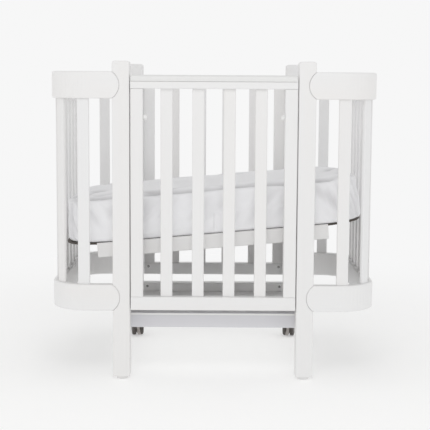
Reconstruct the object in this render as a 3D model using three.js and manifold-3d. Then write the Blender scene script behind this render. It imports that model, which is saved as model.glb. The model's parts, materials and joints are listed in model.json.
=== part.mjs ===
// Baby crib with bentwood ends, a front side that drops, a tilting bed base and two rear casters.
// Millimetres. X runs along the crib, -Y is the front, +Z is up, and the floor is Z = 0.

import * as THREE from 'three';
import { mergeVertices } from 'three/addons/utils/BufferGeometryUtils.js';
import ManifoldModule from 'manifold-3d';

// Overall frame
const HEIGHT = 940;
const GAP = 0.3;
const POST_WIDTH = 50;
const POST_DEPTH = 61;
const POST_X = 270.5;
const POST_Y = 308;
const POST_EDGE = 2.5;
const FRONT_POST_BOTTOM = 10;
const REAR_POST_BOTTOM = 62;
const FOOT_RADIUS = 17;
const POST_INNER_X = POST_X - POST_WIDTH / 2;
const POST_INNER_Y = POST_Y - POST_DEPTH / 2;

// Bentwood bands and the slats between them
const BAND_HEIGHT = 78.5;
const BAND_THICKNESS = 28;
const BAND_EDGE = 4;
const BAND_END_X = 274.5;
const BAND_END_RADIUS = 46;
const BAND_SIDE_X = 469;
const BAND_FRONT_Y = 326;
const BAND_RADIUS = 101;
const LOWER_BAND_Z = 208;
const UPPER_BAND_Z = 831.5;
const END_SLATS_EACH_HALF = 5;
const END_SLAT_PITCH = 82.5;

// Slats, rails and stiles
const SLAT_WIDTH = 35;
const SLAT_THICKNESS = 10;
const PANEL_SLAT_THICKNESS = 12;
const PANEL_SLAT_X = [-138, -45.5, 45.5, 138];
const PANEL_THICKNESS = 34;
const PANEL_HALF = 242.6;
const STILE_WIDTH = 36;
const BOTTOM_RAIL_Z = 210.3;
const BOTTOM_RAIL_HEIGHT = 39.8;
const TOP_RAIL_Z = 860.4;
const TOP_RAIL_HEIGHT = 21.6;
const CAP_HEIGHT = 18;
const DROP_SIDE_Y = -319.5;
const REAR_PANEL_Y = 319.5;

// Drop-side tracks, guide pins and lock knobs
const KNOB_Z = 778;
const PIN_RADIUS = 3;
const PIN_TIP_X = 251.5;
const TRACK_WIDTH = 7;
const TRACK_DEPTH = 8;
const TRACK_BOTTOM = 52;
const TRACK_TOP = 786;

// Bearers and shelf under the bed
const BEARER_DEPTH = 40;
const BEARER_HEIGHT = 45;
const BEARER_Z = 146.5;
const BEARER_HALF = 290;
const SHELF_THICKNESS = 8;
const SHELF_TONGUE = 7;
const SHELF_Z = 154.5;

// Tilting bed base: the pivot rod is its hinge, the support rod carries its raised end
const BASE_TILT = THREE.MathUtils.degToRad(5.1);
const PIVOT_Z = 383.5;
const ROD_RADIUS = 5;
const ROD_HALF = 289.5;
const SOCKET_DEPTH = 13;
const BASE_RAIL_BELOW = 20;
const BASE_RAIL_ABOVE = 23;
const BASE_RAIL_THICKNESS = 20;
const BASE_RAIL_START = -75;
const BASE_RAIL_END = 2 * POST_X + 75;
const BASE_RAIL_Y = POST_INNER_Y - 0.5 - BASE_RAIL_THICKNESS / 2;
const BOARD_THICKNESS = 6;
const BOARD_REBATE = 8;
const BOARD_CENTRE = 273;
const BOARD_HALF_LENGTH = 455;
const BOARD_HALF_WIDTH = BASE_RAIL_Y - BASE_RAIL_THICKNESS / 2 + BOARD_REBATE - GAP;
const MATTRESS_CENTRE = 278.4;
const MATTRESS_HALF_LENGTH = 453.6;
const MATTRESS_HALF_WIDTH = 271;
const MATTRESS_THICKNESS = 135;
const MATTRESS_CORNER = 150;
const MATTRESS_EDGE = 24;

// Rear casters
const CASTER_TRAIL = 28;
const CASTER_TOE_IN = THREE.MathUtils.degToRad(12);
const WHEEL_RADIUS = 23;
const WHEEL_OUTER = 19;
const WHEEL_INNER = 6;
const CASTER_WEB = 10;
const AXLE_RADIUS = 4;
const STEM_RADIUS = 4;

const WHITE = { color: 0xf1f1ee, roughness: 0.45, metalness: 0 };
const BENTWOOD = { color: 0xf5f5f2, roughness: 0.42, metalness: 0 };
const CAP_PLASTIC = { color: 0xececea, roughness: 0.35, metalness: 0 };
const HARDBOARD = { color: 0x4a3a2e, roughness: 0.7, metalness: 0 };
const CLOTH = { color: 0xf2f1f6, roughness: 0.9, metalness: 0 };
const KNOB_PLASTIC = { color: 0xf4f4f2, roughness: 0.35, metalness: 0 };
const STEEL = { color: 0xb9bbbe, roughness: 0.35, metalness: 1 };
const CASTER_PLASTIC = { color: 0x8f8d8a, roughness: 0.5, metalness: 0 };
const WHEEL_PLASTIC = { color: 0x35302d, roughness: 0.6, metalness: 0 };

const { Manifold, Mesh: ManifoldMesh } = await ManifoldModule().then((module) => {
  module.setup();
  return module;
});

const crib = new THREE.Group();

function add(name, geometry, finish, parent = crib) {
  const mesh = new THREE.Mesh(geometry, new THREE.MeshStandardMaterial(finish));
  mesh.name = name;
  parent.add(mesh);
  return mesh;
}

// Joins and cuts

function solid(geometry) {
  const bare = new THREE.BufferGeometry();
  bare.setAttribute('position', geometry.getAttribute('position'));
  bare.setIndex(geometry.getIndex());
  const merged = mergeVertices(bare, 1e-4);
  return new Manifold(new ManifoldMesh({
    numProp: 3,
    vertProperties: Float32Array.from(merged.getAttribute('position').array),
    triVerts: Uint32Array.from(merged.getIndex().array),
  }));
}

function geometryOf(manifold) {
  const mesh = manifold.getMesh();
  const geometry = new THREE.BufferGeometry();
  geometry.setAttribute('position', new THREE.BufferAttribute(mesh.vertProperties, 3));
  geometry.setIndex(new THREE.BufferAttribute(mesh.triVerts, 1));
  return geometry;
}

function cut(geometry, cutters) {
  return geometryOf(cutters.reduce((body, cutter) => body.subtract(solid(cutter)), solid(geometry)));
}

function join(geometries) {
  return geometryOf(geometries.map(solid).reduce((body, other) => body.add(other)));
}

// Simple shapes, each placed by its centre

function box(sizeX, sizeY, sizeZ, x, y, z) {
  return new THREE.BoxGeometry(sizeX, sizeY, sizeZ).translate(x, y, z);
}

function rodAlongX(radius, from, to, y, z, segments = 20) {
  return new THREE.CylinderGeometry(radius, radius, to - from, segments)
    .rotateZ(Math.PI / 2)
    .translate((from + to) / 2, y, z);
}

function rodAlongY(radius, from, to, x, z, segments = 20) {
  return new THREE.CylinderGeometry(radius, radius, to - from, segments)
    .translate(x, (from + to) / 2, z);
}

function rodAlongZ(radius, from, to, x, y, segments = 24) {
  return new THREE.CylinderGeometry(radius, radius, to - from, segments)
    .rotateX(Math.PI / 2)
    .translate(x, y, (from + to) / 2);
}

function roundedRectangle(halfWidth, halfHeight, radius) {
  const shape = new THREE.Shape();
  const w = halfWidth - radius;
  const h = halfHeight - radius;
  shape.moveTo(-w, -halfHeight);
  shape.lineTo(w, -halfHeight);
  shape.absarc(w, -h, radius, -Math.PI / 2, 0);
  shape.lineTo(halfWidth, h);
  shape.absarc(w, h, radius, 0, Math.PI / 2);
  shape.lineTo(-w, halfHeight);
  shape.absarc(-w, h, radius, Math.PI / 2, Math.PI);
  shape.lineTo(-halfWidth, -h);
  shape.absarc(-w, -h, radius, Math.PI, 1.5 * Math.PI);
  return shape;
}

// Extrudes an outline from low to high, keeping its size where its ends are bevelled.
function extrude(shape, low, high, bevel = 0, curveSegments = 2, bevelSegments = 2) {
  const geometry = new THREE.ExtrudeGeometry(shape, {
    depth: high - low - 2 * bevel,
    bevelEnabled: bevel > 0,
    bevelThickness: bevel,
    bevelSize: bevel,
    bevelOffset: -bevel,
    bevelSegments,
    curveSegments,
  });
  return geometry.translate(0, 0, low + bevel);
}

// An outline drawn as (x, z), extruded along Y.
function extrudeAlongY(shape, low, high, bevel, curveSegments, bevelSegments) {
  return extrude(shape, -high, -low, bevel, curveSegments, bevelSegments).rotateX(Math.PI / 2);
}

// An outline drawn as (y, z), extruded along X.
function extrudeAlongX(shape, low, high, bevel, curveSegments, bevelSegments) {
  const axes = new THREE.Matrix4().set(0, 0, 1, 0, 1, 0, 0, 0, 0, 1, 0, 0, 0, 0, 0, 1);
  return extrude(shape, low, high, bevel, curveSegments, bevelSegments).applyMatrix4(axes);
}

// A rail along X with rounded long edges.
function railAlongX(halfLength, depth, height, edge, y, z) {
  return extrudeAlongX(roundedRectangle(depth / 2, height / 2, edge), -halfLength, halfLength)
    .translate(0, y, z + height / 2);
}

function slat(width, thickness, bottom, top) {
  return extrude(roundedRectangle(width / 2, thickness / 2, 3), bottom, top);
}

// Bands: a U in plan, with rounded ends that lie in the posts

function bandPlan() {
  const half = BAND_THICKNESS / 2;
  const cornerX = BAND_SIDE_X - BAND_RADIUS;
  const cornerY = BAND_FRONT_Y - BAND_RADIUS;
  const quarter = Math.PI / 2;
  const shape = new THREE.Shape();
  shape.moveTo(BAND_END_X, -BAND_FRONT_Y - half);
  shape.lineTo(cornerX, -BAND_FRONT_Y - half);
  shape.absarc(cornerX, -cornerY, BAND_RADIUS + half, -quarter, 0);
  shape.lineTo(BAND_SIDE_X + half, cornerY);
  shape.absarc(cornerX, cornerY, BAND_RADIUS + half, 0, quarter);
  shape.lineTo(BAND_END_X, BAND_FRONT_Y + half);
  shape.lineTo(BAND_END_X, BAND_FRONT_Y - half);
  shape.lineTo(cornerX, BAND_FRONT_Y - half);
  shape.absarc(cornerX, cornerY, BAND_RADIUS - half, quarter, 0, true);
  shape.lineTo(BAND_SIDE_X - half, -cornerY);
  shape.absarc(cornerX, -cornerY, BAND_RADIUS - half, 0, -quarter, true);
  shape.lineTo(BAND_END_X, -BAND_FRONT_Y + half);
  return shape;
}

// The band's outline from the front, as (x, z): an arc in the post, straight beyond it.
function bandOutline(side, bottom, clearance) {
  const half = BAND_HEIGHT / 2 + clearance;
  const radius = BAND_END_RADIUS + clearance;
  const centreX = side * (BAND_END_X + BAND_END_RADIUS);
  const lean = side * Math.asin(half / radius);
  const tip = side < 0 ? 0 : Math.PI;
  const middle = bottom + BAND_HEIGHT / 2;
  const far = side * (BAND_SIDE_X + BAND_THICKNESS);
  const shape = new THREE.Shape();
  shape.moveTo(far, middle - half);
  shape.lineTo(centreX, middle - half);
  shape.absarc(centreX, middle, radius, tip + lean, tip - lean, side > 0);
  shape.lineTo(far, middle + half);
  return shape;
}

function band(side, bottom) {
  const blank = extrude(bandPlan(), bottom, bottom + BAND_HEIGHT, BAND_EDGE, 7, 2);
  if (side < 0) {
    blank.rotateZ(Math.PI);
  }
  const face = BAND_FRONT_Y + BAND_THICKNESS / 2;
  const outline = extrudeAlongY(bandOutline(side, bottom, 0), -face, face, BAND_EDGE, 8, 2);
  return geometryOf(solid(blank).intersect(solid(outline)));
}

// Point and outward direction on the band's centreline, by distance from the middle of the end.
function bandPoint(distance) {
  const cornerX = BAND_SIDE_X - BAND_RADIUS;
  const cornerY = BAND_FRONT_Y - BAND_RADIUS;
  const angle = (distance - cornerY) / BAND_RADIUS;
  if (angle < 0) {
    return { x: BAND_SIDE_X, y: distance, angle: 0 };
  }
  return {
    x: cornerX + BAND_RADIUS * Math.cos(angle),
    y: cornerY + BAND_RADIUS * Math.sin(angle),
    angle,
  };
}

function addEnd(side) {
  const word = side < 0 ? 'left' : 'right';
  add(`${word}_lower_band`, band(side, LOWER_BAND_Z), BENTWOOD);
  add(`${word}_upper_band`, band(side, UPPER_BAND_Z), BENTWOOD);
  const bottom = LOWER_BAND_Z + BAND_HEIGHT + GAP;
  const top = UPPER_BAND_Z - GAP;
  for (const half of [-1, 1]) {
    for (let i = 0; i < END_SLATS_EACH_HALF; i += 1) {
      const at = bandPoint((i + 0.5) * END_SLAT_PITCH);
      const number = half < 0 ? END_SLATS_EACH_HALF - i : END_SLATS_EACH_HALF + 1 + i;
      const mesh = add(`${word}_end_slat_${number}`, slat(SLAT_THICKNESS, SLAT_WIDTH, bottom, top), WHITE);
      mesh.position.set(side * at.x, half * at.y, 0);
      mesh.rotation.z = side * half * at.angle;
    }
  }
}

// Posts

function postBlank(sideX, sideY, bottom) {
  const x = sideX * POST_X;
  const radius = 8;
  const left = x - POST_WIDTH / 2;
  const right = x + POST_WIDTH / 2;
  const shape = new THREE.Shape();
  shape.moveTo(left, bottom);
  shape.lineTo(right, bottom);
  shape.lineTo(right, HEIGHT - radius);
  shape.absarc(right - radius, HEIGHT - radius, radius, 0, Math.PI / 2);
  shape.lineTo(left + radius, HEIGHT);
  shape.absarc(left + radius, HEIGHT - radius, radius, Math.PI / 2, Math.PI);
  const y = sideY * POST_Y;
  return extrudeAlongY(shape, y - POST_DEPTH / 2, y + POST_DEPTH / 2, POST_EDGE, 3, 2);
}

function bandPockets(sideX, sideY) {
  const floor = BAND_FRONT_Y - BAND_THICKNESS / 2 - GAP;
  const low = sideY < 0 ? -BAND_FRONT_Y - BAND_THICKNESS : floor;
  const high = sideY < 0 ? -floor : BAND_FRONT_Y + BAND_THICKNESS;
  return [LOWER_BAND_Z, UPPER_BAND_Z].map((bottom) => (
    extrudeAlongY(bandOutline(sideX, bottom, GAP), low, high, 0, 10)
  ));
}

function pivotSocket(sideY) {
  const face = sideY * POST_INNER_Y;
  const low = Math.min(face - sideY, face + sideY * SOCKET_DEPTH);
  const high = Math.max(face - sideY, face + sideY * SOCKET_DEPTH);
  return rodAlongY(ROD_RADIUS + 0.4, low, high, -POST_X, PIVOT_Z);
}

function supportSlot(sideY) {
  const clearance = ROD_RADIUS + 0.7;
  const low = SUPPORT_Z - SUPPORT_TRAVEL - clearance - 0.5;
  const high = SUPPORT_Z + clearance;
  const depth = SOCKET_DEPTH + 1;
  const y = sideY * (POST_INNER_Y + (SOCKET_DEPTH - 1) / 2);
  return box(2 * clearance, depth, high - low, POST_X, y, (low + high) / 2);
}

function guideTrack(sideX) {
  const x = sideX * (POST_INNER_X + (TRACK_DEPTH - 1) / 2);
  const height = TRACK_TOP - TRACK_BOTTOM;
  return box(TRACK_DEPTH + 1, TRACK_WIDTH, height, x, DROP_SIDE_Y, TRACK_BOTTOM + height / 2);
}

function addPosts() {
  for (const sideY of [-1, 1]) {
    for (const sideX of [-1, 1]) {
      const front = sideY < 0;
      const cutters = bandPockets(sideX, sideY);
      cutters.push(sideX < 0 ? pivotSocket(sideY) : supportSlot(sideY));
      let blank = postBlank(sideX, sideY, front ? FRONT_POST_BOTTOM : REAR_POST_BOTTOM);
      if (front) {
        const foot = rodAlongZ(FOOT_RADIUS, 0, FRONT_POST_BOTTOM + 2, sideX * POST_X, sideY * POST_Y, 32);
        blank = join([blank, foot]);
        cutters.push(guideTrack(sideX));
      } else {
        cutters.push(rodAlongZ(
          STEM_RADIUS + 0.4, REAR_POST_BOTTOM - 1, REAR_POST_BOTTOM + 26, sideX * POST_X, POST_Y, 20,
        ));
      }
      const name = `${front ? 'front' : 'rear'}_${sideX < 0 ? 'left' : 'right'}_post`;
      add(name, cut(blank, cutters), WHITE);
    }
  }
}

// Slatted front and rear sides

function stile(sideX, y) {
  const x = sideX * (PANEL_HALF - STILE_WIDTH / 2);
  return extrude(
    roundedRectangle(STILE_WIDTH / 2, PANEL_THICKNESS / 2, 2.5),
    BOTTOM_RAIL_Z + BOTTOM_RAIL_HEIGHT + GAP,
    TOP_RAIL_Z - GAP,
  ).translate(x, y, 0);
}

function addPanelSlats(prefix, y) {
  const bottom = BOTTOM_RAIL_Z + BOTTOM_RAIL_HEIGHT + GAP;
  PANEL_SLAT_X.forEach((x, i) => {
    const mesh = add(`${prefix}_slat_${i + 1}`,
      slat(SLAT_WIDTH, PANEL_SLAT_THICKNESS, bottom, TOP_RAIL_Z - GAP), WHITE);
    mesh.position.set(x, y, 0);
  });
}

function topRailCap() {
  const half = PANEL_THICKNESS / 2 + 2;
  const round = 9;
  const shape = new THREE.Shape();
  shape.moveTo(-half, 0);
  shape.lineTo(half, 0);
  shape.lineTo(half, CAP_HEIGHT - round);
  shape.absarc(half - round, CAP_HEIGHT - round, round, 0, Math.PI / 2);
  shape.lineTo(round - half, CAP_HEIGHT);
  shape.absarc(round - half, CAP_HEIGHT - round, round, Math.PI / 2, Math.PI);
  const bottom = TOP_RAIL_Z + TOP_RAIL_HEIGHT + GAP;
  return extrudeAlongX(shape, -PANEL_HALF + 1, PANEL_HALF - 1, 2, 4, 2)
    .translate(0, DROP_SIDE_Y, bottom);
}

function addDropSide() {
  add('drop_side_top_rail',
    railAlongX(PANEL_HALF, PANEL_THICKNESS, TOP_RAIL_HEIGHT, 3, DROP_SIDE_Y, TOP_RAIL_Z), WHITE);
  add('drop_side_rail_cap', topRailCap(), CAP_PLASTIC);
  const railMiddle = BOTTOM_RAIL_Z + BOTTOM_RAIL_HEIGHT / 2;
  add('drop_side_bottom_rail', join([
    railAlongX(PANEL_HALF, PANEL_THICKNESS, BOTTOM_RAIL_HEIGHT, 3, DROP_SIDE_Y, BOTTOM_RAIL_Z),
    rodAlongX(PIN_RADIUS, PANEL_HALF - 2, PIN_TIP_X, DROP_SIDE_Y, railMiddle, 16),
    rodAlongX(PIN_RADIUS, -PIN_TIP_X, 2 - PANEL_HALF, DROP_SIDE_Y, railMiddle, 16),
  ]), WHITE);
  for (const sideX of [-1, 1]) {
    const word = sideX < 0 ? 'left' : 'right';
    const near = sideX * (PANEL_HALF - STILE_WIDTH - 1);
    const far = sideX * (PANEL_HALF + 1);
    const hole = rodAlongX(
      PIN_RADIUS + 0.4, Math.min(near, far), Math.max(near, far), DROP_SIDE_Y, KNOB_Z, 16,
    );
    add(`drop_side_${word}_stile`, cut(stile(sideX, DROP_SIDE_Y), [hole]), WHITE);
    add(`${word}_lock_knob`, lockKnob(sideX), KNOB_PLASTIC);
  }
  addPanelSlats('drop_side', DROP_SIDE_Y);
}

// A pull knob whose pin runs through the stile into the post's track.
function lockKnob(sideX) {
  const face = PANEL_HALF - STILE_WIDTH - GAP;
  const headRadius = 8;
  const headLength = 11;
  const profile = [
    [0, 0],
    [PIN_RADIUS, 0],
    [PIN_RADIUS, PIN_TIP_X - face],
    [headRadius - 1, PIN_TIP_X - face],
    [headRadius, PIN_TIP_X - face + 3],
    [headRadius, PIN_TIP_X - face + headLength - 3],
    [headRadius - 3, PIN_TIP_X - face + headLength],
    [0, PIN_TIP_X - face + headLength],
  ].map(([radius, along]) => new THREE.Vector2(radius, along));
  const geometry = new THREE.LatheGeometry(profile, 16).rotateZ(sideX < 0 ? -Math.PI / 2 : Math.PI / 2);
  return geometry.translate(sideX * PIN_TIP_X, DROP_SIDE_Y, KNOB_Z);
}

function addRearSide() {
  add('rear_side_top_rail', railAlongX(PANEL_HALF, PANEL_THICKNESS, TOP_RAIL_HEIGHT + CAP_HEIGHT,
    6, REAR_PANEL_Y, TOP_RAIL_Z), WHITE);
  add('rear_side_bottom_rail',
    railAlongX(PANEL_HALF, PANEL_THICKNESS, BOTTOM_RAIL_HEIGHT, 3, REAR_PANEL_Y, BOTTOM_RAIL_Z), WHITE);
  add('rear_side_left_stile', stile(-1, REAR_PANEL_Y), WHITE);
  add('rear_side_right_stile', stile(1, REAR_PANEL_Y), WHITE);
  addPanelSlats('rear_side', REAR_PANEL_Y);
}

// Bearers with a groove for the shelf

function addShelf() {
  for (const sideY of [-1, 1]) {
    const y = sideY * (POST_INNER_Y - GAP - BEARER_DEPTH / 2);
    const innerFace = sideY * (POST_INNER_Y - GAP - BEARER_DEPTH);
    const blank = railAlongX(BEARER_HALF, BEARER_DEPTH, BEARER_HEIGHT, 3, y, BEARER_Z);
    const groove = box(
      2 * BEARER_HALF + 2, 2 * (SHELF_TONGUE + 1), SHELF_THICKNESS + 2 * GAP,
      0, innerFace, SHELF_Z + SHELF_THICKNESS / 2,
    );
    add(sideY < 0 ? 'front_bearer' : 'rear_bearer', cut(blank, [groove]), WHITE);
  }
  const shelfHalf = POST_INNER_Y - GAP - BEARER_DEPTH + SHELF_TONGUE;
  add('under_bed_shelf', box(
    2 * (BEARER_HALF - 5), 2 * shelfHalf, SHELF_THICKNESS, 0, 0, SHELF_Z + SHELF_THICKNESS / 2,
  ), WHITE);
}

// Bed base, drawn level about its pivot rod and then raised at the right end

const SUPPORT_RUN = 2 * POST_X;
const SUPPORT_Z = PIVOT_Z + SUPPORT_RUN * Math.tan(BASE_TILT)
  - (BASE_RAIL_BELOW + ROD_RADIUS + GAP) / Math.cos(BASE_TILT);
const SUPPORT_TRAVEL = SUPPORT_RUN * Math.tan(BASE_TILT)
  - (BASE_RAIL_BELOW + ROD_RADIUS + GAP) * (1 / Math.cos(BASE_TILT) - 1);

function addBedBase() {
  add('base_pivot_rod', rodAlongY(ROD_RADIUS, -ROD_HALF, ROD_HALF, -POST_X, PIVOT_Z, 20), STEEL);
  add('base_support_rod', rodAlongY(ROD_RADIUS, -ROD_HALF, ROD_HALF, POST_X, SUPPORT_Z, 20), STEEL);

  const base = new THREE.Group();
  base.position.set(-POST_X, 0, PIVOT_Z);
  base.rotation.y = -BASE_TILT;
  crib.add(base);

  const railHalf = (BASE_RAIL_END - BASE_RAIL_START) / 2;
  const railHeight = BASE_RAIL_BELOW + BASE_RAIL_ABOVE;
  const boardBottom = BASE_RAIL_ABOVE - BOARD_THICKNESS;
  const pivotHole = rodAlongY(ROD_RADIUS + 0.4, -ROD_HALF, ROD_HALF, 0, 0, 20);
  for (const sideY of [-1, 1]) {
    const innerFace = sideY * (BASE_RAIL_Y - BASE_RAIL_THICKNESS / 2);
    const rail = railAlongX(railHalf, BASE_RAIL_THICKNESS, railHeight, 2.5,
      sideY * BASE_RAIL_Y, -BASE_RAIL_BELOW).translate(BASE_RAIL_START + railHalf, 0, 0);
    const rebate = box(2 * railHalf + 2, 2 * BOARD_REBATE, 2 * (BOARD_THICKNESS + GAP),
      BASE_RAIL_START + railHalf, innerFace, BASE_RAIL_ABOVE);
    add(sideY < 0 ? 'base_front_rail' : 'base_rear_rail', cut(rail, [pivotHole, rebate]), WHITE, base);
  }

  const board = extrude(roundedRectangle(BOARD_HALF_LENGTH, BOARD_HALF_WIDTH, MATTRESS_CORNER),
    boardBottom, BASE_RAIL_ABOVE, 0, 6);
  add('base_board', board, HARDBOARD, base).position.x = BOARD_CENTRE;

  const mattressBottom = BASE_RAIL_ABOVE + GAP;
  const mattress = extrude(
    roundedRectangle(MATTRESS_HALF_LENGTH, MATTRESS_HALF_WIDTH, MATTRESS_CORNER),
    mattressBottom, mattressBottom + MATTRESS_THICKNESS, MATTRESS_EDGE, 6, 3,
  );
  add('mattress', mattress, CLOTH, base).position.x = MATTRESS_CENTRE;
}

// Casters: drawn rolling towards -Y, about the middle of the leg

function casterForkOutline() {
  const shape = new THREE.Shape();
  shape.moveTo(11, 58);
  shape.lineTo(-20, 58);
  shape.lineTo(-42, 40);
  shape.lineTo(-51, 22);
  shape.lineTo(-72, 14);
  shape.lineTo(-75, 11);
  shape.lineTo(-72, 8.5);
  shape.lineTo(-46, 10);
  shape.lineTo(-28, 10);
  shape.lineTo(-16, 20);
  shape.lineTo(-8, 42);
  shape.lineTo(11, 50);
  return shape;
}

function casterFork() {
  const flange = rodAlongZ(15, REAR_POST_BOTTOM - GAP - 4.2, REAR_POST_BOTTOM - GAP, 0, 0);
  const stem = rodAlongZ(STEM_RADIUS, REAR_POST_BOTTOM - 4, REAR_POST_BOTTOM + 24, 0, 0, 16);
  const web = extrudeAlongX(casterForkOutline(), -CASTER_WEB / 2, CASTER_WEB / 2, 1.2, 1, 1);
  const axleHole = rodAlongX(AXLE_RADIUS + 0.4, -CASTER_WEB, CASTER_WEB, -CASTER_TRAIL, WHEEL_RADIUS);
  return cut(join([flange, stem, web]), [axleHole]);
}

function casterWheels() {
  const r = WHEEL_RADIUS;
  const side = [
    [AXLE_RADIUS, WHEEL_INNER],
    [r - 2, WHEEL_INNER],
    [r, WHEEL_INNER + 2],
    [r, WHEEL_OUTER - 3],
    [r - 3, WHEEL_OUTER],
    [0, WHEEL_OUTER],
  ];
  const profile = [...side.map(([radius, along]) => [radius, -along]).reverse(), ...side]
    .map(([radius, along]) => new THREE.Vector2(radius, along));
  return new THREE.LatheGeometry(profile, 28).rotateZ(-Math.PI / 2).translate(0, -CASTER_TRAIL, r);
}

function addCasters() {
  for (const sideX of [-1, 1]) {
    const word = sideX < 0 ? 'left' : 'right';
    const caster = new THREE.Group();
    caster.position.set(sideX * POST_X, POST_Y, 0);
    caster.rotation.z = -sideX * CASTER_TOE_IN;
    crib.add(caster);
    add(`${word}_caster_fork`, casterFork(), CASTER_PLASTIC, caster);
    add(`${word}_caster_wheels`, casterWheels(), WHEEL_PLASTIC, caster);
  }
}

addPosts();
addEnd(-1);
addEnd(1);
addDropSide();
addRearSide();
addShelf();
addBedBase();
addCasters();

export default crib;
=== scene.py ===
import json
import math

import bmesh
import bpy
from mathutils import Matrix, Vector, noise


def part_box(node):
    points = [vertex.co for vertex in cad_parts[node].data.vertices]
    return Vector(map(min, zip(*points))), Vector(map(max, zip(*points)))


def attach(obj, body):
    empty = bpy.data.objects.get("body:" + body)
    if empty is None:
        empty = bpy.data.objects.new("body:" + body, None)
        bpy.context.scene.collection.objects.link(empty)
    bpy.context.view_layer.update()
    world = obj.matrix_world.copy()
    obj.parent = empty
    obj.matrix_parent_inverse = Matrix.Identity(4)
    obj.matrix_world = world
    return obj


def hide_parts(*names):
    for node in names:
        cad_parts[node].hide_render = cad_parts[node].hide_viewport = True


# A baby crib: materials, sheeted mattress, fittings and a pale studio around the CAD frame.
# Metres, +Z up, -Y is the front.

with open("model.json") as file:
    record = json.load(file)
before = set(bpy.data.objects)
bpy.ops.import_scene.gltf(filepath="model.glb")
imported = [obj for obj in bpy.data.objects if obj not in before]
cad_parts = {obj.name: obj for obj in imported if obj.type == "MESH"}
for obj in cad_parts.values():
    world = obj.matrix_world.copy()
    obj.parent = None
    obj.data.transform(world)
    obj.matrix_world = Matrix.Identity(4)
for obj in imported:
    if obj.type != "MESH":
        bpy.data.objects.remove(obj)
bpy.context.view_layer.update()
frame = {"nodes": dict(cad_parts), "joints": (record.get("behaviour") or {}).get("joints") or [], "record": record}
nodes = frame["nodes"]
joints = {joint["name"]: joint for joint in frame["joints"]}
MM = 0.001


# Camera

CAMERA_LENS = 95.94
CAMERA_SENSOR = 36
CAMERA_REACH = 40
CAMERA_PLACE = (0.00443, -3.66305, 0.8814)
CAMERA_DOWN = 0.1158
CAMERA_ROLL = 0.0058


def add_camera():
    data = bpy.data.cameras.new("camera")
    data.lens = CAMERA_LENS
    data.sensor_width = CAMERA_SENSOR
    data.clip_end = CAMERA_REACH
    camera = bpy.data.objects.new("camera", data)
    camera.matrix_world = (
        Matrix.Translation(CAMERA_PLACE)
        @ Matrix.Rotation(math.pi / 2 - CAMERA_DOWN, 4, "X")
        @ Matrix.Rotation(CAMERA_ROLL, 4, "Z")
    )
    bpy.context.scene.collection.objects.link(camera)
    bpy.context.scene.camera = camera


add_camera()


# Material helpers

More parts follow.
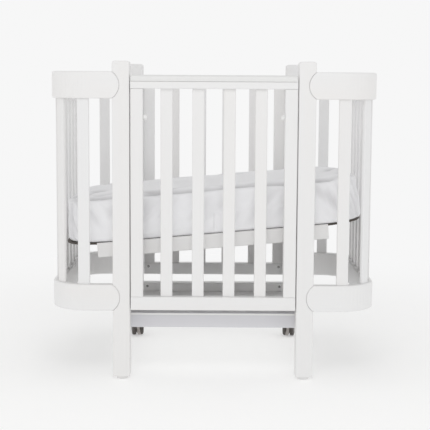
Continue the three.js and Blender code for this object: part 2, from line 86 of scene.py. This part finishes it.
class Shader:
    """A Principled material whose nodes are added by short calls."""

    def __init__(self, name):
        self.material = bpy.data.materials.new(name)
        self.material.use_nodes = True
        self.tree = self.material.node_tree
        self.bsdf = self.tree.nodes["Principled BSDF"]
        self.place = self.add("ShaderNodeTexCoord").outputs["Object"]

    def add(self, kind, **settings):
        node = self.tree.nodes.new(kind)
        for key, value in settings.items():
            setattr(node, key, value)
        return node

    def link(self, source, target):
        self.tree.links.new(source, target)

    def set(self, **values):
        for key, value in values.items():
            self.bsdf.inputs[key.replace("_", " ")].default_value = value

    def stretched(self, scale):
        mapping = self.add("ShaderNodeMapping")
        mapping.inputs["Scale"].default_value = scale
        self.link(self.place, mapping.inputs["Vector"])
        return mapping.outputs["Vector"]

    def noise(self, scale, detail=3.0, stretch=None, roughness=0.5):
        node = self.add("ShaderNodeTexNoise")
        node.inputs["Scale"].default_value = scale
        node.inputs["Detail"].default_value = detail
        node.inputs["Roughness"].default_value = roughness
        self.link(self.stretched(stretch) if stretch else self.place, node.inputs["Vector"])
        return node.outputs["Fac"]

    def wave(self, scale, direction, distortion=0.0, detail=0.0):
        node = self.add("ShaderNodeTexWave", bands_direction=direction)
        node.inputs["Scale"].default_value = scale
        node.inputs["Distortion"].default_value = distortion
        node.inputs["Detail"].default_value = detail
        self.link(self.place, node.inputs["Vector"])
        return node.outputs["Fac"]

    def math(self, operation, a, b=0.0):
        node = self.add("ShaderNodeMath", operation=operation)
        for socket, value in zip(node.inputs, (a, b)):
            if isinstance(value, (int, float)):
                socket.default_value = value
            else:
                self.link(value, socket)
        return node.outputs[0]

    def between(self, factor, low, high, from_low=0.0, from_high=1.0):
        node = self.add("ShaderNodeMapRange")
        node.inputs["From Min"].default_value = from_low
        node.inputs["From Max"].default_value = from_high
        node.inputs["To Min"].default_value = low
        node.inputs["To Max"].default_value = high
        self.link(factor, node.inputs["Value"])
        return node.outputs["Result"]

    def mix(self, factor, a, b):
        node = self.add("ShaderNodeMix", data_type="RGBA")
        self.link(factor, node.inputs["Factor"])
        for socket, value in ((node.inputs[6], a), (node.inputs[7], b)):
            if isinstance(value, tuple):
                socket.default_value = (*value, 1)
            else:
                self.link(value, socket)
        return node.outputs[2]

    def edge(self, radius):
        """1 at an edge within radius, falling to 0 on flat faces, with the rounded normal."""
        bevel = self.add("ShaderNodeBevel", samples=4)
        bevel.inputs["Radius"].default_value = radius
        geometry = self.add("ShaderNodeNewGeometry")
        dot = self.add("ShaderNodeVectorMath", operation="DOT_PRODUCT")
        self.link(bevel.outputs["Normal"], dot.inputs[0])
        self.link(geometry.outputs["True Normal"], dot.inputs[1])
        return self.between(dot.outputs["Value"], 1.0, 0.0, 0.75, 1.0), bevel.outputs["Normal"]

    def vector_math(self, operation, source, other=None):
        node = self.add("ShaderNodeVectorMath", operation=operation)
        self.link(source, node.inputs[0])
        if other is not None:
            node.inputs[1].default_value = other
        return node.outputs["Value" if operation == "LENGTH" else "Vector"]

    def finish(self, colour, roughness, bumps, normal=None):
        """Links the base colour, the roughness and the bumps."""
        self.link(colour, self.bsdf.inputs["Base Color"])
        self.link(roughness, self.bsdf.inputs["Roughness"])
        self.bump(bumps, normal)

    def bump(self, heights, normal=None):
        """Chains (height, strength, distance) bumps onto the shader's normal."""
        for height, strength, distance in heights:
            node = self.add("ShaderNodeBump")
            node.inputs["Strength"].default_value = strength
            node.inputs["Distance"].default_value = distance
            self.link(height, node.inputs["Height"])
            if normal is not None:
                self.link(normal, node.inputs["Normal"])
            normal = node.outputs["Normal"]
        self.link(normal, self.bsdf.inputs["Normal"])


ALONG_X = (0.05, 1.0, 1.0)
ALONG_Y = (1.0, 0.05, 1.0)
ALONG_Z = (1.0, 1.0, 0.05)


# Colour and depth of the painted highlight band under a top edge.
LIP_HIGHLIGHT_WHITE = (0.92, 0.92, 0.90)
LIP_HIGHLIGHT_DEPTH = 7 * MM
BAND_BEND = (0.368, 0.225, 0)
PLY_PERIOD = 3.5 * MM


def painted(s, colour, warmth, fibres, broad, streak, wear, bare, edge):
    """Paint that varies in warmth, shows the raised grain, and is thin at worn edges."""
    warm = (colour[0], colour[1] * warmth[0], colour[2] * warmth[1])
    base = s.mix(s.between(broad, 0.0, 1.0, 0.35, 0.7), colour, warm)
    low, strength = streak
    streaked = s.mix(s.between(fibres, 0.0, strength, 0.55, 0.8), base, tuple(low * c for c in warm))
    thin = s.math("MULTIPLY", edge, s.between(broad, 0.02, wear, 0.4, 0.7))
    return s.mix(thin, streaked, bare)


def painted_wood(name, colour, grain, warmth=0.985, roughness=0.42, highlight_top=None):
    """Satin paint over wood: faint raised grain along the piece, brush film, thinner paint at edges.
    A painted highlight, a light band, runs just under the top edge at the given height."""
    s = Shader(name)
    fibres = s.noise(420, 4, grain, 0.6)
    broad = s.noise(9, 2, grain)
    film = s.noise(1500, 1)
    edge, rounded = s.edge(1.0 * MM)
    warm = (warmth, warmth ** 2)
    toned = painted(s, colour, warm, fibres, broad, (0.8, 0.16), 0.3, (0.74, 0.72, 0.67), edge)
    # Painted highlight: a light band just under the top edge, where its rounded edge catches the light.
    if highlight_top is not None:
        split = s.add("ShaderNodeSeparateXYZ")
        s.link(s.place, split.inputs[0])
        height = split.outputs["Z"]
        above = s.between(height, 0.0, 1.0, highlight_top - LIP_HIGHLIGHT_DEPTH, highlight_top - 0.8 * LIP_HIGHLIGHT_DEPTH)
        below = s.between(height, 1.0, 0.0, highlight_top - 0.35 * LIP_HIGHLIGHT_DEPTH, highlight_top - 0.25 * LIP_HIGHLIGHT_DEPTH)
        toned = s.mix(s.math("MULTIPLY", above, below), toned, LIP_HIGHLIGHT_WHITE)
    bumps = [(fibres, 0.1, 0.25 * MM), (film, 0.05, 0.06 * MM)]
    s.finish(toned, s.between(fibres, roughness - 0.06, roughness + 0.1), bumps, rounded)
    s.set(Specular_IOR_Level=0.4)
    return s.material


def bent_plywood(name, colour):
    """Painted bent ply: grain round the bend, and faint layers that show on the long edges."""
    s = Shader(name)
    fibres = s.noise(300, 4, (0.08, 0.08, 1.0), 0.6)
    broad = s.noise(7, 2, (0.3, 0.3, 1.0))
    film = s.noise(1500, 1)
    past_bend = s.vector_math("SUBTRACT", s.vector_math("ABSOLUTE", s.place), BAND_BEND)
    level = s.vector_math("MULTIPLY", s.vector_math("MAXIMUM", past_bend, (0, 0, 0)), (1, 1, 0))
    depth = s.vector_math("LENGTH", level)
    layers = s.math("SINE", s.math("MULTIPLY", depth, 2 * math.pi / PLY_PERIOD))
    edge, rounded = s.edge(0.9 * MM)
    toned = painted(s, colour, (0.985, 0.97), fibres, broad, (0.82, 0.12), 0.25, (0.76, 0.74, 0.69), edge)
    bumps = [(layers, 0.06, 0.15 * MM), (fibres, 0.08, 0.2 * MM), (film, 0.05, 0.06 * MM)]
    s.finish(toned, s.between(fibres, 0.34, 0.5), bumps, rounded)
    return s.material


def moulded_plastic(name, colour, roughness, grain=2200, edge_highlight_tone=1.12):
    """Moulded plastic: fine spark-eroded texture, mottled sheen, and a painted highlight that lightens the edges.
    """
    s = Shader(name)
    grit = s.noise(grain, 2, None, 0.7)
    mottle = s.noise(60, 3)
    edge, rounded = s.edge(0.7 * MM)
    base = s.mix(mottle, tuple(0.94 * c for c in colour), colour)
    # Painted highlight: the edges are lightened towards a paler copy of the colour.
    edge_highlighted = s.mix(s.math("MULTIPLY", edge, 0.5), base, tuple(min(0.95, edge_highlight_tone * c) for c in colour))
    sheen = s.between(grit, roughness - 0.07, roughness + 0.12)
    s.finish(edge_highlighted, sheen, [(grit, 0.16, 0.08 * MM)], rounded)
    return s.material


def plated_steel(name, dull, bright):
    """Plated steel: drawn lines, cloudy plating and duller patches."""
    s = Shader(name)
    drawn = s.noise(900, 3, ALONG_Y)
    cloud = s.noise(70, 4, None, 0.6)
    bumps = [(drawn, 0.12, 0.1 * MM), (cloud, 0.08, 0.1 * MM)]
    s.finish(s.mix(cloud, dull, bright), s.between(cloud, 0.26, 0.5), bumps)
    s.set(Metallic=1.0)
    return s.material


def hardboard(name):
    """Oil-tempered hardboard: pressed brown fibres, darker on the cut edge."""
    s = Shader(name)
    fibres = s.noise(260, 6, None, 0.75)
    flecks = s.noise(900, 3)
    edge, rounded = s.edge(1.2 * MM)
    pressed = s.between(fibres, 0.0, 1.0, 0.35, 0.65)
    base = s.mix(pressed, (0.035, 0.027, 0.022), (0.065, 0.048, 0.038))
    dark = s.mix(edge, base, (0.03, 0.022, 0.018))
    flecked = s.mix(s.between(flecks, 0.0, 0.5, 0.6, 0.8), dark, (0.2, 0.15, 0.11))
    s.finish(flecked, s.between(fibres, 0.55, 0.8), [(fibres, 0.3, 0.2 * MM)], rounded)
    return s.material


# Grey that the sheet's colour is darkened towards in its folds: painted shade.
FOLD_SHADE_TONE = (0.33, 0.32, 0.33)
THREAD = 0.7 * MM


def woven_sheet(name, colour):
    """Plain-woven cotton: crossing threads, slubs and broad creases, with painted shade darkening the folds."""
    s = Shader(name)
    per_metre = 0.5 / THREAD
    threads = s.math("MULTIPLY", s.wave(per_metre, "X", 0.6, 1), s.wave(per_metre, "Y", 0.6, 1))
    threads = s.math("ADD", threads, s.wave(per_metre, "Z", 0.6, 1))
    slubs = s.noise(700, 3, (1.0, 0.12, 1.0))
    creases = s.noise(26, 3, (1.0, 1.0, 0.45), 0.55)
    mottle = s.noise(5, 2)
    fold_shade = s.add("ShaderNodeAttribute", attribute_name="fold_shade")
    lit = s.mix(s.between(mottle, 0.0, 1.0, 0.3, 0.7), tuple(0.97 * c for c in colour), colour)
    # Painted shade: the fold value stored on the mesh darkens the colour in the sheet's grooves and folds.
    base = s.mix(fold_shade.outputs["Fac"], lit, FOLD_SHADE_TONE)
    toned = s.mix(s.between(threads, 0.0, 0.25, 0.2, 1.4), base, tuple(0.9 * c for c in colour))
    flecked = s.mix(s.between(slubs, 0.0, 0.2, 0.55, 0.8), toned, (0.93, 0.93, 0.96))
    bumps = [(creases, 0.35, 3 * MM), (threads, 0.2, 0.12 * MM), (slubs, 0.12, 0.1 * MM)]
    s.finish(flecked, s.between(threads, 0.78, 0.95), bumps)
    s.set(Specular_IOR_Level=0.2, Sheen_Weight=0.25, Sheen_Roughness=0.5)
    return s.material


WHITE = (0.83, 0.83, 0.831)
BAND_WHITE = (0.835, 0.835, 0.836)
# The shelf white is a lighter copy of the white paint: painted light for parts that sit in shade.
SHELF_LIT_WHITE = (0.93, 0.93, 0.93)
# The bearer grey is a darker, bluer copy of the white paint: painted shade for the front bearer under the drop
# side.
BEARER_SHADE_GREY = (0.68, 0.68, 0.712)
CLOTH = (0.95, 0.95, 0.966)

paint_upright = painted_wood("paint_upright", WHITE, ALONG_Z)
paint_along = painted_wood("paint_along", WHITE, ALONG_X)
paint_band = bent_plywood("paint_band", BAND_WHITE)
# Painted light: the under-bed shelf and the rear bearer get the lighter, glossier copy of the white paint.
shelf_lit_paint = painted_wood("shelf_lit_paint", SHELF_LIT_WHITE, ALONG_X, 0.995, 0.28)
# Painted shade and highlight: the front bearer gets the darker copy of the white paint, and a light band under its
# top edge.
bearer_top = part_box("front_bearer")[1].z
bearer_shaded_paint = painted_wood("bearer_shaded_paint", BEARER_SHADE_GREY, ALONG_X, 0.995, 0.34, bearer_top)
cap_plastic = moulded_plastic("cap_plastic", (0.80, 0.80, 0.79), 0.36)
knob_plastic = moulded_plastic("knob_plastic", (0.86, 0.86, 0.85), 0.3)
caster_grey = moulded_plastic("caster_grey", (0.38, 0.35, 0.33), 0.45)
caster_dark = moulded_plastic("caster_dark", (0.055, 0.047, 0.042), 0.5, 1800, 1.6)
steel = plated_steel("steel", (0.42, 0.42, 0.43), (0.66, 0.65, 0.63))
hole_shade_dark = plated_steel("hole_shade_dark", (0.06, 0.06, 0.065), (0.13, 0.125, 0.12))
board_brown = hardboard("hardboard")
sheet_cotton = woven_sheet("sheet_cotton", CLOTH)


def finish_nodes():
    by_slot = {
        "bentwood_white": paint_band, "cap_plastic": cap_plastic, "knob_plastic": knob_plastic,
        "steel": steel, "hardboard": board_brown, "mattress_cover": sheet_cotton,
        "caster_grey": caster_grey, "caster_dark": caster_dark,
    }
    # Painted light and shade: the bearers and the shelf take the lighter and darker copies of the white paint.
    by_node = {
        "front_bearer": bearer_shaded_paint, "rear_bearer": shelf_lit_paint, "under_bed_shelf": shelf_lit_paint,
    }
    for row in frame["record"]["subparts"]:
        node = nodes[row["node"]]
        slot = row["material_slot"]
        if row["node"] in by_node:
            material = by_node[row["node"]]
        elif slot == "white_paint":
            low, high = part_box(row["node"])
            size = high - low
            material = paint_upright if size.z > max(size.x, size.y) else paint_along
        else:
            material = by_slot[slot]
        node.data.materials.clear()
        node.data.materials.append(material)


finish_nodes()


# Mesh helpers

def piece(name, mesh, material, body):
    thing = bpy.data.objects.new(name, mesh)
    bpy.context.scene.collection.objects.link(thing)
    mesh.materials.clear()
    mesh.materials.append(material)
    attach(thing, body)
    return thing


def turned(profile, segments=28):
    """A closed round solid from (radius, height) points about Z, with smooth sides."""
    bm = bmesh.new()
    rings = []
    for radius, height in profile:
        if radius == 0:
            rings.append([bm.verts.new((0, 0, height))])
            continue
        angles = (2 * math.pi * k / segments for k in range(segments))
        rings.append([bm.verts.new((radius * math.cos(a), radius * math.sin(a), height)) for a in angles])
    for low, high in zip(rings, rings[1:]):
        for k in range(segments):
            m = (k + 1) % segments
            if len(low) == 1:
                bm.faces.new((low[0], high[m], high[k]))
            elif len(high) == 1:
                bm.faces.new((low[k], low[m], high[0]))
            else:
                bm.faces.new((low[k], low[m], high[m], high[k]))
    bmesh.ops.recalc_face_normals(bm, faces=bm.faces)
    for face in bm.faces:
        face.smooth = len(face.verts) == 4
    return bm


def finished(bm, name, transforms):
    """One mesh holding the shape once for each transform."""
    mesh = bpy.data.meshes.new(name)
    whole = bmesh.new()
    for transform in transforms:
        copy = bm.copy()
        copy.transform(transform)
        part = bpy.data.meshes.new("part")
        copy.to_mesh(part)
        copy.free()
        whole.from_mesh(part)
        bpy.data.meshes.remove(part)
    whole.to_mesh(mesh)
    whole.free()
    bm.free()
    return mesh


def facing(place, axis):
    """Stands a turned shape at a place, its +Z along axis."""
    return Matrix.Translation(place) @ Vector(axis).to_track_quat("Z", "Y").to_matrix().to_4x4()


def bolt_profile():
    """A low domed bolt head with a round recess, base at 0."""
    r = 6.5 * MM
    return [
        (0, 0), (r, 0), (r, 1.0 * MM), (0.86 * r, 2.1 * MM), (0.55 * r, 2.5 * MM),
        (0.42 * r, 2.5 * MM), (0.38 * r, 0.9 * MM), (0, 0.9 * MM),
    ]


def hole_shade_profile():
    """A thin dark disc of painted shade that stands for the drilled hole of a cross dowel, base at 0."""
    r = 4.2 * MM
    return [(0, 0), (r, 0), (r, 0.15 * MM), (0.9 * r, 0.25 * MM), (0, 0.2 * MM)]


def dowel_profile():
    """The domed end of a cross dowel, base at 0."""
    r = 2.4 * MM
    return [(0, 0), (r, 0), (r, 0.4 * MM), (0.8 * r, 0.7 * MM), (0.3 * r, 0.9 * MM), (0, 0.92 * MM)]


DOWEL_INSET = 15 * MM
DOWEL_BELOW_TOP = 12 * MM
DOWEL_SHIFT = Vector((-1.2 * MM, 0, -0.4 * MM))


def add_dowels():
    """Cross dowels on the inner faces of the rear rail and of both bearers, each on a dark disc of painted shade
    standing for its hole.
    """
    rail_low, rail_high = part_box("rear_side_bottom_rail")
    bearer_low, bearer_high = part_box("rear_bearer")
    front_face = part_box("front_bearer")[1].y
    places = []
    for side in (-1, 1):
        x = side * (rail_high.x - DOWEL_INSET)
        bearer_z = bearer_high.z - DOWEL_BELOW_TOP
        places.append((Vector((x, rail_low.y, rail_high.z - DOWEL_BELOW_TOP)), (0, -1, 0)))
        places.append((Vector((x, bearer_low.y, bearer_z)), (0, -1, 0)))
        places.append((Vector((x, front_face, bearer_z)), (0, 1, 0)))
    hole_shades = [facing(place, axis) for place, axis in places]
    ends = [facing(place + DOWEL_SHIFT, axis) for place, axis in places]
    # Painted shade: thin dark discs stand for the shade inside the dowel holes.
    piece("dowel_hole_shades", finished(turned(hole_shade_profile()), "dowel_hole_shades", hole_shades), hole_shade_dark, "frame")
    piece("cross_dowels", finished(turned(dowel_profile()), "cross_dowels", ends), steel, "frame")


def add_bolts():
    """Bolt heads on the outer and rear faces of the rear legs, level with the rails and the bearer."""
    heads = []
    bearer_low, bearer_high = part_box("rear_bearer")
    rail_boxes = [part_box("rear_side_bottom_rail"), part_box("rear_side_top_rail")]
    for side, word in ((-1, "left"), (1, "right")):
        low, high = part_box(f"rear_{word}_post")
        outer = low.x if side < 0 else high.x
        for rail_low, rail_high in rail_boxes:
            place = (outer, (low.y + high.y) / 2, (rail_low.z + rail_high.z) / 2)
            heads.append(facing(place, (side, 0, 0)))
        place = ((low.x + high.x) / 2, high.y, (bearer_low.z + bearer_high.z) / 2)
        heads.append(facing(place, (0, 1, 0)))
    piece("frame_bolts", finished(turned(bolt_profile()), "frame_bolts", heads), steel, "frame")


add_dowels()
add_bolts()


# Mattress: a foam block in a fitted sheet, swollen by cloth pressure, with a rolled edge and creases

MATTRESS_CORNER = 150 * MM
TOP_EDGE = 9 * MM
BOTTOM_EDGE = 7 * MM
SHRINK = 1 * MM
LIFT = 3 * MM
VOXEL = 7 * MM
SWELL_CAP = 6 * MM
HELD_HEIGHT = 6 * MM
CLOTH_PRESSURE = 4
CLOTH_STIFFNESS = 40
CLOTH_BENDING = 2
CLOTH_QUALITY = 4
CLOTH_FRAMES = 20

GROOVE_IN = 30 * MM
GROOVE_DEPTH = 15 * MM
GROOVE_WIDTH = 12 * MM
WRINKLE_IN = 78 * MM
WRINKLE_DEPTH = 9 * MM
SHOULDER_DROP = 3.5 * MM
SHOULDER_REACH = 26 * MM
SLACK_DEPTH = 4 * MM
FOLD_DEPTH = 6 * MM
FAN_DEPTH = 6 * MM
TUCK_DEPTH = 7 * MM
LEFT_PROUD = 5 * MM
BOARD_CLEARANCE = 0.2 * MM

BASE_PIVOT = Vector(joints["base_level"]["pos_m"])
BASE_TILT = math.radians(joints["base_level"]["range_deg"][1])
TO_TILTED = Matrix.Translation(BASE_PIVOT) @ Matrix.Rotation(-BASE_TILT, 4, "Y")
TO_LEVEL = TO_TILTED.inverted()


def level_box(node):
    """The corners of a node's box in the bed base's own level frame, about its pivot."""
    points = [TO_LEVEL @ v.co for v in nodes[node].data.vertices]
    low = Vector([min(p[i] for p in points) for i in range(3)])
    high = Vector([max(p[i] for p in points) for i in range(3)])
    return low, high


def round_outline(half_x, half_y, radius, steps=14):
    points = []
    for corner in range(4):
        centre_x = (half_x - radius) * (1 if corner in (0, 3) else -1)
        centre_y = (half_y - radius) * (1 if corner in (0, 1) else -1)
        for step in range(steps + 1):
            angle = math.pi / 2 * (corner + step / steps)
            points.append((centre_x + radius * math.cos(angle), centre_y + radius * math.sin(angle)))
    return points


def eased(edge, steps=4):
    """(height, inset) points of a quarter round, from a flat face up to the side that it meets."""
    angles = [math.pi / 2 * k / steps for k in range(steps + 1)]
    return [(edge * (1 - math.cos(a)), edge * (1 - math.sin(a))) for a in angles]


def mattress_block(centre, half):
    """A rounded slab with eased edges, a little smaller at its top than the finished mattress."""
    bm = bmesh.new()
    rings = []
    levels = [(z - half.z, inset) for z, inset in eased(BOTTOM_EDGE)]
    levels += [(half.z - z, inset + SHRINK) for z, inset in reversed(eased(TOP_EDGE))]
    for z, inset in levels:
        outline = round_outline(half.x - inset, half.y - inset, MATTRESS_CORNER - inset)
        rings.append([bm.verts.new((centre.x + x, centre.y + y, centre.z + z)) for x, y in outline])
    for low, high in zip(rings, rings[1:]):
        count = len(low)
        for k in range(count):
            bm.faces.new((low[k], low[(k + 1) % count], high[(k + 1) % count], high[k]))
    bm.faces.new(list(reversed(rings[0])))
    bm.faces.new(rings[-1])
    bmesh.ops.remove_doubles(bm, verts=bm.verts, dist=0.01 * MM)
    bmesh.ops.recalc_face_normals(bm, faces=bm.faces)
    mesh = bpy.data.meshes.new("mattress_sheeted")
    bm.to_mesh(mesh)
    bm.free()
    return mesh


def apply_modifiers(thing):
    graph = bpy.context.evaluated_depsgraph_get()
    mesh = bpy.data.meshes.new_from_object(thing.evaluated_get(graph))
    thing.modifiers.clear()
    old = thing.data
    thing.data = mesh
    bpy.data.meshes.remove(old)


def swell(thing, bottom):
    """Cloth pressure swells the block; no point moves further than the cap, and its base stays flat."""
    rest = [v.co.copy() for v in thing.data.vertices]
    group = thing.vertex_groups.new(name="held")
    group.add([v.index for v in thing.data.vertices if v.co.z < bottom + HELD_HEIGHT], 1.0, "REPLACE")
    cloth = thing.modifiers.new("cloth", "CLOTH")
    cloth.settings.vertex_group_mass = "held"
    cloth.settings.use_pressure = True
    cloth.settings.uniform_pressure_force = CLOTH_PRESSURE
    cloth.settings.tension_stiffness = CLOTH_STIFFNESS
    cloth.settings.compression_stiffness = CLOTH_STIFFNESS
    cloth.settings.bending_stiffness = CLOTH_BENDING
    cloth.settings.effector_weights.gravity = 0
    cloth.settings.quality = CLOTH_QUALITY
    scene = bpy.context.scene
    for number in range(1, CLOTH_FRAMES + 1):
        scene.frame_set(number)
    apply_modifiers(thing)
    scene.frame_set(1)
    for vertex, start in zip(thing.data.vertices, rest):
        move = vertex.co - start
        if move.length > SWELL_CAP:
            vertex.co = start + move * (SWELL_CAP / move.length)


def smooth_step(low, high, value):
    t = min(1.0, max(0.0, (value - low) / (high - low)))
    return t * t * (3 - 2 * t)


def outline_distance(x, y, half_x, half_y, radius):
    """Distance in from a rounded rectangle, and the outward direction there."""
    dx = abs(x) - (half_x - radius)
    dy = abs(y) - (half_y - radius)
    if dx > 0 and dy > 0:
        reach = math.hypot(dx, dy)
        return radius - reach, Vector((math.copysign(dx / reach, x), math.copysign(dy / reach, y), 0))
    if dx > dy:
        return radius - dx, Vector((math.copysign(1, x), 0, 0))
    return radius - dy, Vector((0, math.copysign(1, y), 0))


def wavy(*place):
    """Smooth noise at a place, from -1 to 1."""
    return noise.noise(Vector(place))


def groove(inward, middle):
    """1 on a line at distance middle in from the outline, fading to each side."""
    return math.exp(-(((inward - middle) / GROOVE_WIDTH) ** 2))


def crease_top(x, y, inward, upper):
    """The drop of the sheet's top at a place, and how deep in a fold the place is, which sets how much painted
    shade its colour gets.
    """
    edge_line = groove(inward, GROOVE_IN + wavy(x * 7, y * 7, 3) * 12 * MM) * upper
    pucker = min(1.1, max(0.15, 0.75 + 0.8 * wavy(x * 16, y * 16, 7)))
    wrinkle = groove(inward, WRINKLE_IN + wavy(x * 6, y * 6, 17) * 70 * MM) * upper
    wrinkle *= smooth_step(-0.25, 0.3, wavy(x * 9, y * 9, 41))
    shoulder = math.exp(-max(0, inward) / SHOULDER_REACH) * upper
    slack = wavy(x * 5, y * 7, 0) + 0.5 * wavy(x * 15, y * 24, 5)
    drop = GROOVE_DEPTH * edge_line * pucker + WRINKLE_DEPTH * wrinkle + SHOULDER_DROP * shoulder
    drop -= SLACK_DEPTH * slack * upper * smooth_step(0.03, 0.09, inward)
    return drop, 0.85 * edge_line * pucker + 0.6 * wrinkle


def crease_side(along, height, outward):
    """How far the side stands out at a place, and how deep in a fold the place is, which sets how much painted
    shade its colour gets.
    """
    bend = abs(outward.x * outward.y) * 2
    folds = wavy(along * 14, height * 1.1, outward.x * 2 + 11)
    sharp = abs(wavy(along * 18 + height * 2.4, height * 0.8, 31))
    fan = math.sin(along * 80 + height * 5 * (1 + bend)) * bend
    proud = FOLD_DEPTH * folds + FAN_DEPTH * fan + TUCK_DEPTH * (0.2 - sharp)
    # Painted shade: the valley value darkens the sheet's colour in the side folds.
    valley_shade = max(0, sharp - 0.28) * 1.6 + max(0, -fan - 0.3) * 0.7 + max(0, -folds - 0.2) * 0.5
    return proud, 0.4 * valley_shade


def crease_sheet(thing, centre, half):
    """Adds what a fitted sheet shows: a puckered groove inside the rolled top edge, pull creases that
    run down the sides and fan out at the corners, and a slack top. It also stores a fold value that
    darkens the sheet's colour as painted shade in the grooves and folds. The right end stays inside
    the outline, because it passes close to the end slats when the base is level."""
    fold_shade = thing.data.attributes.new("fold_shade", "FLOAT", "POINT")
    for vertex in thing.data.vertices:
        local = vertex.co - centre
        inward, outward = outline_distance(local.x, local.y, half.x, half.y, MATTRESS_CORNER)
        height = (local.z + half.z) / (2 * half.z)
        drop, top_fold_shade = crease_top(local.x, local.y, inward, smooth_step(0.75, 0.88, height))
        vertex.co.z -= drop
        side = smooth_step(40 * MM, 8 * MM, inward) * math.sin(math.pi * min(1, max(0, height)))
        along = local.x * outward.y - local.y * outward.x
        proud, side_fold_shade = crease_side(along, height, outward)
        vertex.co += outward * side * proud
        # Painted shade: how much the sheet's colour is darkened here, deepest in the grooves and folds.
        fold_shade.data[vertex.index].value = min(1, top_fold_shade + side * side_fold_shade)
        local = vertex.co - centre
        inward, outward = outline_distance(local.x, local.y, half.x, half.y, MATTRESS_CORNER)
        allowed = 0 if local.x > 0 else LEFT_PROUD
        vertex.co += outward * min(0, inward + allowed)


def add_mattress():
    low, high = level_box("mattress")
    centre = (low + high) / 2
    half = (high - low) / 2
    sunk = Vector((0, 0, LIFT / 2))
    mesh = mattress_block(centre - sunk, half - sunk)
    thing = bpy.data.objects.new("mattress_sheeted", mesh)
    bpy.context.scene.collection.objects.link(thing)
    remesh = thing.modifiers.new("voxels", "REMESH")
    remesh.mode = "VOXEL"
    remesh.voxel_size = VOXEL
    apply_modifiers(thing)
    swell(thing, low.z)
    smooth = thing.modifiers.new("smooth", "SUBSURF")
    smooth.levels = 1
    smooth.render_levels = 1
    apply_modifiers(thing)
    crease_sheet(thing, centre, half)
    for vertex in thing.data.vertices:
        vertex.co.z = max(low.z + BOARD_CLEARANCE, vertex.co.z)
    thing.data.transform(TO_TILTED)
    for polygon in thing.data.polygons:
        polygon.use_smooth = True
    thing.data.materials.clear()
    thing.data.materials.append(sheet_cotton)
    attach(thing, "bed_base")
    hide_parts("mattress")


add_mattress()


# Studio

STUDIO_WHITE = (0.92, 0.92, 0.92, 1)
FLOOR_GREY = (0.8, 0.8, 0.794, 1)
FLOOR_GLOW = 0.32
FLOOR_RADIUS = 14
FLOOR_FADE = (0.7, 2.2)
SKY_RISE = (0.2, 0.9)
SKY_LOSS = 0.36
VIEW_GAMMA = 1.14
KEY_PLACE = (-0.1, -2.6, 2.6)
KEY_TARGET = (0, 0, 0.6)
KEY_SIZE = (1.5, 1.1)
KEY_POWER = 13


def ranged(tree, value, source, target):
    """value eased from the source range to the target range."""
    node = tree.nodes.new("ShaderNodeMapRange")
    node.interpolation_type = "SMOOTHSTEP"
    node.inputs["From Min"].default_value, node.inputs["From Max"].default_value = source
    node.inputs["To Min"].default_value, node.inputs["To Max"].default_value = target
    tree.links.new(value, node.inputs["Value"])
    return node.outputs["Result"]


def add_floor():
    """A round pale floor that fades into the white surround."""
    bm = bmesh.new()
    bmesh.ops.create_circle(bm, cap_ends=True, radius=FLOOR_RADIUS, segments=96)
    mesh = bpy.data.meshes.new("floor")
    bm.to_mesh(mesh)
    bm.free()
    floor = bpy.data.objects.new("floor", mesh)
    bpy.context.scene.collection.objects.link(floor)
    s = Shader("studio_floor")
    s.set(Base_Color=FLOOR_GREY, Roughness=0.8, Specular_IOR_Level=0.0)
    s.set(Emission_Color=STUDIO_WHITE, Emission_Strength=FLOOR_GLOW)
    fade = ranged(s.tree, s.vector_math("LENGTH", s.place), FLOOR_FADE, (0.0, 1.0))
    glow = s.add("ShaderNodeEmission")
    glow.inputs["Color"].default_value = STUDIO_WHITE
    blend = s.add("ShaderNodeMixShader")
    s.link(fade, blend.inputs[0])
    s.link(s.bsdf.outputs[0], blend.inputs[1])
    s.link(glow.outputs[0], blend.inputs[2])
    s.link(blend.outputs[0], s.tree.nodes["Material Output"].inputs["Surface"])
    mesh.materials.append(s.material)


def add_surround():
    """White all round, dimmer overhead."""
    world = bpy.data.worlds.new("studio")
    world.use_nodes = True
    tree = world.node_tree
    background = tree.nodes["Background"]
    background.inputs["Color"].default_value = STUDIO_WHITE
    split = tree.nodes.new("ShaderNodeSeparateXYZ")
    tree.links.new(tree.nodes.new("ShaderNodeTexCoord").outputs["Generated"], split.inputs[0])
    strength = ranged(tree, split.outputs["Z"], SKY_RISE, (1.0, 1.0 - SKY_LOSS))
    tree.links.new(strength, background.inputs["Strength"])
    bpy.context.scene.world = world
    bpy.context.scene.view_settings.view_transform = "Standard"
    bpy.context.scene.view_settings.gamma = VIEW_GAMMA


def add_key():
    data = bpy.data.lights.new("key", "AREA")
    data.shape = "RECTANGLE"
    data.size, data.size_y = KEY_SIZE
    data.energy = KEY_POWER
    lamp = bpy.data.objects.new("key", data)
    lamp.matrix_world = facing(KEY_PLACE, Vector(KEY_PLACE) - Vector(KEY_TARGET))
    bpy.context.scene.collection.objects.link(lamp)


add_floor()
add_surround()
add_key()
